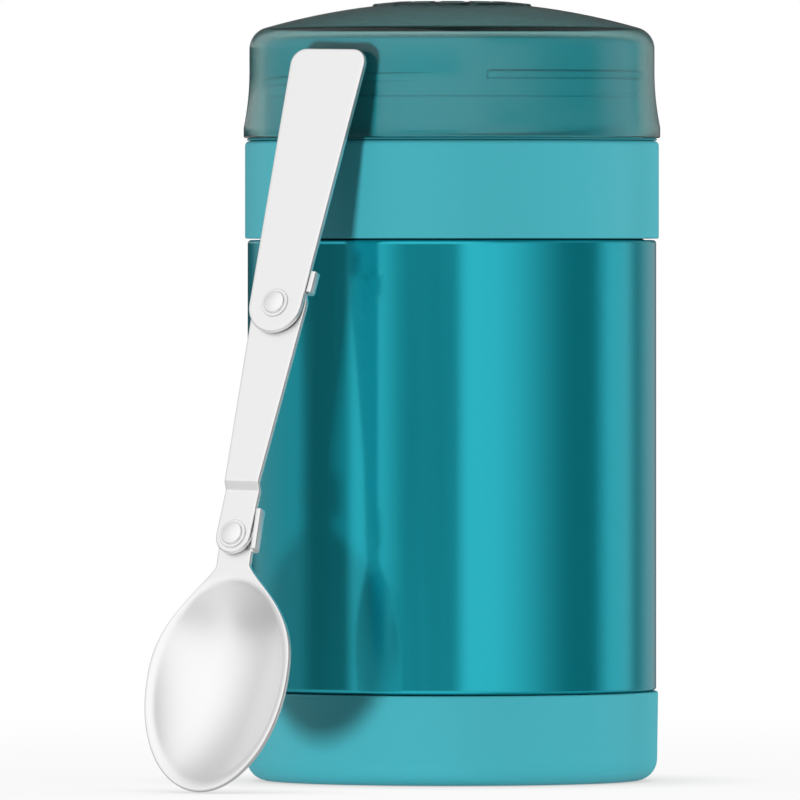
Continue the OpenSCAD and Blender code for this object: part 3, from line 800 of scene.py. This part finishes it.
# %% Bowl
# The bowl leaf lies behind the link's lower end and is canted a little in its plane.
CANT = math.radians(4.5)
BOWL_FRONT = -STEP - LEAF - LEAF_GAP
BOWL_POINTS = 420
BOWL_RINGS = 48
sweep = np.linspace(0, np.pi, 121)
right_y = (NECK_Y + BOWL_TIP) / 2 + (NECK_Y - BOWL_TIP) / 2 * np.cos(sweep)
right_side = np.stack([bowl_half(right_y), right_y], axis=1)
bowl_outline = evenly(np.concatenate([
    (right_side * [-1, 1])[:-1],
    right_side[::-1],
    arc((0, 0), NECK_HALF, 0, 180, 24),
]), BOWL_POINTS)
bowl_spine = spine_of(bowl_outline, BOWL_WIDE, 0)
bowl_grid = leaf_grid(bowl_outline, bowl_spine, bowl_height, BOWL_RINGS)
bowl_grid[..., 2] += BOWL_FRONT
add_piece("spoon_bowl_leaf", in_spoon(bowl_grid, CANT, lower_pivot), "bowl", "spoon_steel",
          stands_for=["spoon_bowl"])

# %% [markdown]
# ## Stop tabs and rivets
# A small tab is bent up at the side of each pivot, where the next leaf's edge stops
# against it when the spoon is straight. It is the same sheet, so its section is an
# L with the sheet's own thickness. A rivet holds each pivot: a crowned button in
# front, a shank through both leaves and a flat peened head behind. Both could be cut
# out of blocks, but a section carried along or turned keeps their edges round.

# %% Stop tabs
TAB_EDGE = 0.25


def tab_grid(root, inner, low, high, height):
    """A strip bent up at a right angle: its L-shaped section, in (right, front), is
    carried along the leaf from low to high and rolled over at both ends by a quarter
    circle."""
    outer = inner + LEAF
    section = evenly(rounded([
        (root, -LEAF, 0.2), (outer, -LEAF, 1.6), (outer, height, 0.4), (inner, height, 0.4),
        (inner, 0, 0.3), (root, 0, 0.2),
    ], 8), 90)
    roll = np.linspace(0, np.pi / 2, 6)
    shrink = TAB_EDGE * (1 - np.sin(roll))
    along = low + TAB_EDGE * (1 - np.cos(roll))
    along = np.concatenate([along, (low + high) - along[::-1]])
    shrink = np.concatenate([shrink, shrink[::-1]])
    rings = np.stack([inset(section, s) for s in shrink])
    up = np.broadcast_to(along[:, None], rings.shape[:2])
    return np.stack([rings[..., 0], up, rings[..., 1]], axis=-1)


upper_tab = tab_grid(root=3, inner=HANDLE_END_R + 0.25, low=3.2, high=8.2,
                     height=LEAF_GAP + LEAF)
lean = math.radians(-tilt)
upper_tab = np.stack([
    upper_tab[..., 0] * math.cos(lean) - upper_tab[..., 1] * math.sin(lean),
    upper_tab[..., 0] * math.sin(lean) + upper_tab[..., 1] * math.cos(lean),
    upper_tab[..., 2]], axis=-1)
add_piece("link_stop_tab", in_spoon(upper_tab), "link", "spoon_steel", caps=(0, -1))

lower_tab = tab_grid(root=2, inner=LINK_LOW_HALF + 0.65, low=-3.8, high=5.8,
                     height=LEAF_GAP + LEAF + 0.2)
lower_tab[..., 2] += BOWL_FRONT
add_piece("bowl_stop_tab", in_spoon(lower_tab, CANT, lower_pivot), "bowl", "spoon_steel",
          caps=(0, -1))

# %% Rivets
RIVET_SHANK_R = 2
RIVET_HEAD_R = 3.3
BUTTON_R = 2.6
BRIM_T = 0.35
BUTTON_RISE = 0.85
BUTTON_CROWN = 0.3
BUTTON_EDGE_R = 0.3
PEEN_R = 2.9
PEEN_T = 0.65
PIVOT_PLAY = 0.05


def rivet_grid(front, back):
    """A crowned button on a thin brim, a shank and a flat peened head, turned about the
    pivot between the front and the back of what it holds. The crown is the cap of a
    ball as wide as the button's flat: the ball's radius is the flat squared plus the
    crown squared, over twice the crown."""
    flat = BUTTON_R - BUTTON_EDGE_R
    ball = (flat ** 2 + BUTTON_CROWN ** 2) / (2 * BUTTON_CROWN)
    edge = math.degrees(math.asin(flat / ball))
    seat = front + PIVOT_PLAY
    peen = back - PIVOT_PLAY
    profile = np.concatenate([
        arc((0, seat + BUTTON_RISE + BUTTON_CROWN - ball), ball, 90, 90 - edge, 10),
        arc((flat, seat + BUTTON_RISE - BUTTON_EDGE_R), BUTTON_EDGE_R, 90, 0, 6),
        rounded([(BUTTON_R, seat + BRIM_T, 0.08), (RIVET_HEAD_R, seat + BRIM_T, 0.2),
                 (RIVET_HEAD_R, seat, 0.05), (RIVET_SHANK_R, seat, 0),
                 (RIVET_SHANK_R, peen, 0), (PEEN_R, peen, 0.05),
                 (PEEN_R, peen - PEEN_T, 0.3), (0, peen - PEEN_T, 0)], 5),
    ])
    return turned(profile, 96)


add_piece("upper_rivet_skin", in_spoon(rivet_grid(LEAF_GAP + LEAF, -LEAF)), "link",
          "spoon_steel", stands_for=["upper_rivet"])
lower_rivet_grid = rivet_grid(-STEP, BOWL_FRONT - LEAF)
add_piece("lower_rivet_skin", in_spoon(lower_rivet_grid, 0.0, lower_pivot), "link",
          "spoon_steel", stands_for=["lower_rivet"])

# %% [markdown]
# ## Surround
# Lacquered steel shows what is round it, so the surround decides how the body looks.
# Real soft boxes could stand round the jar as glowing planes, but they would light
# the floor and the matt pieces too. Here reflected rays meet a world with brighter
# and darker upright bands near the horizon, as soft boxes give, with a plain sky
# above and a grey table below. The camera meets plain white, and a ray that goes on
# through the smoke plastic meets a pale grey. Light that was scattered meets one low
# even level, so the lamps alone set how bright a colour looks.

# %% World helpers
world = bpy.data.worlds.new("studio")
bpy.context.scene.world = world
world.use_nodes = True
nodes, links = world.node_tree.nodes, world.node_tree.links
nodes.clear()


def math_node(kind, a, b=None, c=None):
    """One Math node in the tree that nodes and links belong to. Numbers are set on it,
    and sockets are linked to it."""
    node = nodes.new("ShaderNodeMath")
    node.operation = kind
    for k, value in enumerate((a, b, c)):
        if value is None:
            continue
        if isinstance(value, (int, float)):
            node.inputs[k].default_value = value
        else:
            links.new(value, node.inputs[k])
    return node.outputs[0]


def smooth_range(value, low, high):
    """A smooth rise from 0 at low to 1 at high."""
    node = nodes.new("ShaderNodeMapRange")
    node.interpolation_type = "SMOOTHSTEP"
    node.inputs["From Min"].default_value = low
    node.inputs["From Max"].default_value = high
    links.new(value, node.inputs["Value"])
    return node.outputs["Result"]


def blend(first, second, share):
    """first where share is 0, second where it is 1, in proportion between them."""
    keep = math_node("MULTIPLY", first, math_node("SUBTRACT", 1, share))
    return math_node("ADD", keep, math_node("MULTIPLY", second, share))


print("world:", world.name)

# %% Directions
# A ray's bearing is its angle from straight ahead of the jar, positive to the right.
direction = nodes.new("ShaderNodeTexCoord").outputs["Generated"]
parts = nodes.new("ShaderNodeSeparateXYZ")
links.new(direction, parts.inputs[0])
ahead = math_node("MULTIPLY", parts.outputs["Y"], -1)
bearing_out = math_node("ARCTAN2", parts.outputs["X"], ahead)
rise_out = parts.outputs["Z"]


def bearing_range(low_deg, high_deg, bearing=bearing_out):
    """A smooth rise between two bearings in degrees."""
    return smooth_range(bearing, math.radians(low_deg), math.radians(high_deg))


to_right = bearing_range(10, 34)
from_left = bearing_range(-150, -35)
behind = bearing_range(150, 166, math_node("ABSOLUTE", bearing_out))
print("nodes for the directions:", len(nodes))

# %% Soft boxes
# Each soft box: bearings in degrees where it starts, is full, starts to fade and
# ends, and how bright it is. Between them it is nearly dark, left and right.
SOFT_BOXES = [
    (-158, -140, -100, -82, 0.26),
    (-64, -56, -44, -24, 0.72),
    (-1, 10, 18, 74, 1.0),
    (84, 103, 114, 131, 0.67),
    (118, 146, 156, 180, 0.36),
]
BETWEEN_BOXES = (0.02, 0.0)
boxes = blend(*BETWEEN_BOXES, to_right)
for start, full, fade, end, strength in SOFT_BOXES:
    middle = (start + end) / 2
    apart = math_node("SUBTRACT", bearing_out, math.radians(middle))
    apart = math_node("WRAP", apart, math.pi, -math.pi)
    rise = bearing_range(start - middle, full - middle, apart)
    fall = bearing_range(end - middle, fade - middle, apart)
    lit = math_node("MULTIPLY", rise, fall)
    boxes = math_node("ADD", boxes, math_node("MULTIPLY", lit, strength))
print("soft boxes:", len(SOFT_BOXES))

# %% Sky and table
# Away from the horizon the surround is plain: brightest ahead, half as bright round
# the left, and dim on the right. Below the horizon it is the table's grey, and a dark
# backdrop stands behind. The pairs are how steeply a ray rises where each of them
# starts and is full, on the left and on the right.
SKY_ROUND_LEFT = 0.5
SKY_AHEAD = 1.07
SKY_RIGHT = 0.3
TABLE_SHARE = 0.75
TABLE_RIGHT = 0.4
BACKDROP = 0.08
SKY_STARTS = ((0.015, 0.06), (0.18, 0.38))
TABLE_STARTS = ((-0.04, -0.065), (-0.18, -0.38))
BACKDROP_STARTS = (0.02, 0.12)


def left_and_right(starts):
    """The share of sky or table that a ray meets, from its left and right starts."""
    left, right = [smooth_range(rise_out, *pair) for pair in starts]
    return blend(left, right, to_right)


left_sky = blend(SKY_ROUND_LEFT, SKY_AHEAD, from_left)
sky = blend(left_sky, SKY_RIGHT, to_right)
table = blend(math_node("MULTIPLY", left_sky, TABLE_SHARE), TABLE_RIGHT, to_right)
reflected = blend(boxes, sky, left_and_right(SKY_STARTS))
reflected = blend(reflected, table, left_and_right(TABLE_STARTS))
on_backdrop = math_node("MULTIPLY", behind, smooth_range(rise_out, *BACKDROP_STARTS))
reflected = blend(reflected, BACKDROP, on_backdrop)
print("sky", SKY_AHEAD, "ahead and", SKY_RIGHT, "on the right")

# %% What each kind of ray meets
THROUGH_PLASTIC = 0.72
CAMERA_WHITE = 1.0
AMBIENT = 0.09
path = nodes.new("ShaderNodeLightPath")
scattered = math_node("GREATER_THAN", path.outputs["Diffuse Depth"], 0.5)
level = blend(reflected, THROUGH_PLASTIC, path.outputs["Is Transmission Ray"])
level = blend(level, CAMERA_WHITE, path.outputs["Is Camera Ray"])
level = blend(level, AMBIENT, scattered)
background = nodes.new("ShaderNodeBackground")
background.inputs["Color"].default_value = (1, 1, 1, 1)
links.new(level, background.inputs["Strength"])
output = nodes.new("ShaderNodeOutputWorld")
links.new(background.outputs[0], output.inputs[0])
print("world nodes:", len(nodes))

# %% [markdown]
# ## Lamps
# The jar stands on a light table. The main lamp is low in front and shines up
# through the floor, and four more soft lamps fill in the sides and the top. They are
# area lamps, because a point lamp would draw hard shadow edges. None of them is seen
# in a reflection, since the surround already has the soft boxes.

# %% Lamps
# Each lamp: name, bearing and rise in degrees, distance and size in metres, and watts.
LAMPS = [
    ("key_lamp", -26, -11, 2.2, 0.2, 37),
    ("front_right_lamp", 50, 10, 2.2, 0.9, 4.5),
    ("right_lamp", 100, 8, 2.2, 0.9, 41),
    ("left_lamp", -120, 8, 2.2, 0.9, 11),
    ("top_lamp", 0, 80, 1.8, 1.2, 5),
]
AIM = Vector((0, 0, 0.09))


def add_lamp(name, bearing_deg, rise_deg, distance, size, power):
    """A square soft lamp at a bearing from straight ahead, aimed at the jar's middle."""
    data = bpy.data.lights.new(name, "AREA")
    data.size = size
    data.energy = power
    lamp = bpy.data.objects.new(name, data)
    a, e = math.radians(bearing_deg), math.radians(rise_deg)
    lamp.location = AIM + distance * Vector((math.sin(a) * math.cos(e),
                                             -math.cos(a) * math.cos(e), math.sin(e)))
    lamp.rotation_euler = (AIM - lamp.location).to_track_quat("-Z", "Y").to_euler()
    lamp.visible_camera = False
    lamp.visible_glossy = False
    lamp.visible_transmission = False
    bpy.context.collection.objects.link(lamp)


for lamp_values in LAMPS:
    add_lamp(*lamp_values)
print("lamps:", ", ".join(lamp_values[0] for lamp_values in LAMPS))

# %% [markdown]
# ## Floor
# The floor is the pale top of the light table. It glows, so it is white wherever
# nothing stands on it, and it keeps a soft contact shade and a little of the jar's
# shadow. It casts no shadow itself, so the main lamp shines through it, and from
# below it is clear.

# %% Floor
FLOOR_REACH = 3.0
FLOOR_Z = -0.0001
SQUARE = ((-1, -1), (1, -1), (1, 1), (-1, 1))
floor_mesh = bpy.data.meshes.new("floor")
corners = [(x * FLOOR_REACH, y * FLOOR_REACH, FLOOR_Z) for x, y in SQUARE]
floor_mesh.from_pydata(corners, [], [(0, 1, 2, 3)])
floor = bpy.data.objects.new("floor", floor_mesh)
bpy.context.collection.objects.link(floor)
floor_material, tree, shader = new_material(
    "floor", Base_Color=(0.86, 0.86, 0.86, 1), Roughness=0.7)
floor_mesh.materials.append(floor_material)
floor.visible_glossy = False
floor.visible_shadow = False
print("floor:", 2 * FLOOR_REACH, "m wide")

# %% The floor's glow
# The glow dims where something stands close above it. From here on nodes and links
# are the floor's, also for math_node.
CONTACT_REACH = 0.03
CONTACT_LEVEL = 0.62
nodes, links = tree.nodes, tree.links
glow = nodes.new("ShaderNodeEmission")
contact = nodes.new("ShaderNodeAmbientOcclusion")
contact.inputs["Distance"].default_value = CONTACT_REACH
shade = nodes.new("ShaderNodeMapRange")
shade.inputs["To Min"].default_value = CONTACT_LEVEL
links.new(contact.outputs["AO"], shade.inputs["Value"])
links.new(shade.outputs["Result"], glow.inputs["Strength"])
print("the glow dims to", CONTACT_LEVEL, "within", CONTACT_REACH, "m of a piece")

# %% The floor near the jar
# Near the jar a little of the lit floor shows through the glow, with the jar's shadow.
LIT_NEAR = 0.06
LIT_FAR = 0.6
GLOW_NEAR = 0.92
place = nodes.new("ShaderNodeTexCoord")
away = nodes.new("ShaderNodeVectorMath")
away.operation = "LENGTH"
links.new(place.outputs["Object"], away.inputs[0])
fade = nodes.new("ShaderNodeMapRange")
fade.interpolation_type = "SMOOTHSTEP"
fade.inputs["From Min"].default_value = LIT_NEAR
fade.inputs["From Max"].default_value = LIT_FAR
fade.inputs["To Min"].default_value = GLOW_NEAR
links.new(away.outputs["Value"], fade.inputs["Value"])
path = nodes.new("ShaderNodeLightPath")
seen = math_node("MAXIMUM", path.outputs["Is Camera Ray"], path.outputs["Is Transmission Ray"])
share = math_node("MULTIPLY", seen, fade.outputs["Result"])
both = nodes.new("ShaderNodeMixShader")
links.new(share, both.inputs["Fac"])
links.new(shader.outputs[0], both.inputs[1])
links.new(glow.outputs[0], both.inputs[2])
print("the glow's share is", GLOW_NEAR, "near the jar and 1 from", LIT_FAR, "m on")

# %% The floor from below
# From below the floor is clear, so that the underside of the boot can be seen.
side_seen = nodes.new("ShaderNodeNewGeometry")
through = nodes.new("ShaderNodeBsdfTransparent")
one_way = nodes.new("ShaderNodeMixShader")
links.new(side_seen.outputs["Backfacing"], one_way.inputs["Fac"])
links.new(both.outputs[0], one_way.inputs[1])
links.new(through.outputs[0], one_way.inputs[2])
links.new(one_way.outputs[0], nodes["Material Output"].inputs["Surface"])
print("floor nodes:", len(nodes))

# %% View
view = bpy.context.scene.view_settings
view.view_transform = "Standard"
print("view transform:", view.view_transform)
